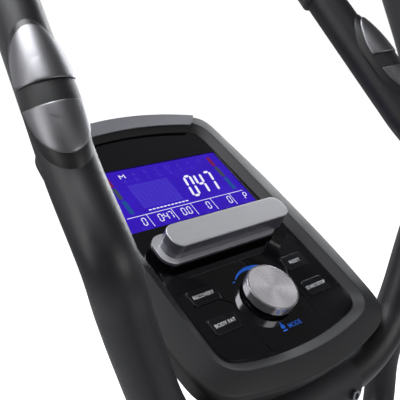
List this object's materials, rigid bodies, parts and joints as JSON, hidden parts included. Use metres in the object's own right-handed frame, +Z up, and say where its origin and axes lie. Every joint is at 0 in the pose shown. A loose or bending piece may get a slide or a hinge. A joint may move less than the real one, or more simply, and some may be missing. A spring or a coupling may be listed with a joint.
{
  "type": "elliptical trainer",
  "caption": "Rear-driven elliptical trainer with a display console, fixed handlebar with pulse plates, moving handles, pedals and an enclosed flywheel drive.",
  "frame": {"origin": "centre of the footprint box, on the floor", "axes": "+X to the right of the user, +Y forward from the user to the console, +Z up"},
  "size_m": [0.6192, 1.7151, 1.6634],
  "materials": {
    "frame_paint": "satin black powder coat",
    "shell_plastic": "fine textured black plastic",
    "bezel_plastic": "satin charcoal plastic",
    "gloss_panel": "piano black",
    "screen": "lit blue display",
    "accent_plastic": "mid grey satin",
    "silver_plastic": "brushed silver",
    "knob_metal": "spun aluminium",
    "button_plastic": "black with white words",
    "foam_grip": "soft charcoal grip",
    "sensor_plate": "brushed",
    "steel": "bright",
    "iron": "turned",
    "cap_plastic": "moulded black plastic",
    "wheel_rubber": "grey black",
    "belt_rubber": "ribbed"
  },
  "bodies": {
    "base": {"console_rear_shell": "shell_plastic", "console_bezel": "bezel_plastic", "console_faceplate": "gloss_panel", "accent_strip": "accent_plastic", "lcd_module": "screen", "tablet_ledge": "silver_plastic", "u_handlebar": "frame_paint", "front_post": "frame_paint", "handlebar_clamp": "shell_plastic", "post_boot": "shell_plastic", "main_beam": "frame_paint", "front_stabiliser": "frame_paint", "rear_stabiliser": "frame_paint", "housing_right": "shell_plastic", "housing_left": "shell_plastic", "rear_frame": "frame_paint", "drive_belt": "belt_rubber", "brake_magnets": "iron", "power_inlet": "shell_plastic", "flywheel_axle": "steel", "crank_bearing_right": "steel", "crank_bearing_left": "steel", "swing_axle": "steel", "pulse_holder_left": "foam_grip", "pulse_plate_upper_left": "sensor_plate", "pulse_plate_lower_left": "sensor_plate", "fixed_grip_left": "foam_grip", "front_end_cap_left": "cap_plastic", "rear_end_cap_left": "cap_plastic", "pulse_holder_right": "foam_grip", "pulse_plate_upper_right": "sensor_plate", "pulse_plate_lower_right": "sensor_plate", "fixed_grip_right": "foam_grip", "front_end_cap_right": "cap_plastic", "rear_end_cap_right": "cap_plastic"},
    "crank": {"crank_axle": "steel", "drive_pulley": "cap_plastic", "crank_arm_left": "frame_paint", "crank_arm_right": "frame_paint", "crank_disc_left": "shell_plastic", "crank_disc_right": "shell_plastic"},
    "flywheel": {"flywheel": "iron"},
    "encoder": {"encoder_shaft": "steel"},
    "mode_knob": {"mode_knob": "knob_metal"},
    "recovery_button": {"recovery_button": "button_plastic"},
    "reset_button": {"reset_button": "button_plastic"},
    "body_fat_button": {"body_fat_button": "button_plastic"},
    "start_stop_button": {"start_stop_button": "button_plastic"},
    "pedal_arm_left": {"pedal_arm_left": "frame_paint", "pedal_left": "cap_plastic"},
    "swing_arm_left": {"swing_arm_left": "frame_paint", "moving_handle_left": "frame_paint", "moving_grip_left": "foam_grip"},
    "transport_wheel_left": {"transport_wheel_left": "wheel_rubber"},
    "pedal_arm_right": {"pedal_arm_right": "frame_paint", "pedal_right": "cap_plastic"},
    "swing_arm_right": {"swing_arm_right": "frame_paint", "moving_handle_right": "frame_paint", "moving_grip_right": "foam_grip"},
    "transport_wheel_right": {"transport_wheel_right": "wheel_rubber"}
  },
  "joints": [
    {"name": "crank_turn", "type": "hinge", "parent": "base", "child": "crank", "pos_m": [0, -0.57442, 0.29], "axis": [1, 0, 0], "range_deg": [0, 180]},
    {"name": "pedal_arm_right_turn", "type": "hinge", "parent": "crank", "child": "pedal_arm_right", "pos_m": [0.14, -0.40941, 0.29], "axis": [1, 0, 0], "range_deg": [-180.5, 0]},
    {"name": "pedal_arm_left_turn", "type": "hinge", "parent": "crank", "child": "pedal_arm_left", "pos_m": [-0.14, -0.73942, 0.29], "axis": [1, 0, 0], "range_deg": [-180.5, 0]},
    {"name": "swing_right_turn", "type": "hinge", "parent": "base", "child": "swing_arm_right", "pos_m": [0.2, 0.37559, 0.847], "axis": [1, 0, 0], "range_deg": [-33.2, 0]},
    {"name": "swing_left_turn", "type": "hinge", "parent": "base", "child": "swing_arm_left", "pos_m": [-0.2, 0.37559, 0.847], "axis": [1, 0, 0], "range_deg": [0, 33.2]},
    {"name": "flywheel_spin", "type": "hinge", "parent": "base", "child": "flywheel", "pos_m": [0, -0.27442, 0.242], "axis": [1, 0, 0], "range_deg": [0, 1230]},
    {"name": "knob_push", "type": "slide", "parent": "base", "child": "encoder", "axis": [0, 0.5284, -0.849], "range_m": [0, 0.001], "stiffness_N_per_m": 900},
    {"name": "knob_turn", "type": "hinge", "parent": "encoder", "child": "mode_knob", "pos_m": [0, 0.32444, 1.31403], "axis": [0, -0.5284, 0.849], "continuous": true},
    {"name": "recovery_press", "type": "slide", "parent": "base", "child": "recovery_button", "axis": [0, 0.5284, -0.849], "range_m": [0, 0.001], "stiffness_N_per_m": 500},
    {"name": "reset_press", "type": "slide", "parent": "base", "child": "reset_button", "axis": [0, 0.5284, -0.849], "range_m": [0, 0.001], "stiffness_N_per_m": 500},
    {"name": "body_fat_press", "type": "slide", "parent": "base", "child": "body_fat_button", "axis": [0, 0.5284, -0.849], "range_m": [0, 0.001], "stiffness_N_per_m": 500},
    {"name": "start_stop_press", "type": "slide", "parent": "base", "child": "start_stop_button", "axis": [0, 0.5284, -0.849], "range_m": [0, 0.001], "stiffness_N_per_m": 500},
    {"name": "transport_wheel_left_spin", "type": "hinge", "parent": "base", "child": "transport_wheel_left", "pos_m": [-0.15, 0.671, 0.034], "axis": [1, 0, 0], "continuous": true},
    {"name": "transport_wheel_right_spin", "type": "hinge", "parent": "base", "child": "transport_wheel_right", "pos_m": [0.15, 0.671, 0.034], "axis": [1, 0, 0], "continuous": true}
  ],
  "couplings": [
    {"joint": "pedal_arm_right_turn", "follows": "crank_turn", "ratio": -1},
    {"joint": "pedal_arm_left_turn", "follows": "crank_turn", "ratio": -1},
    {"joint": "swing_right_turn", "follows": "crank_turn", "ratio": -0.18334},
    {"joint": "swing_left_turn", "follows": "crank_turn", "ratio": 0.18334},
    {"joint": "flywheel_spin", "follows": "crank_turn", "ratio": 6.8182}
  ]
}
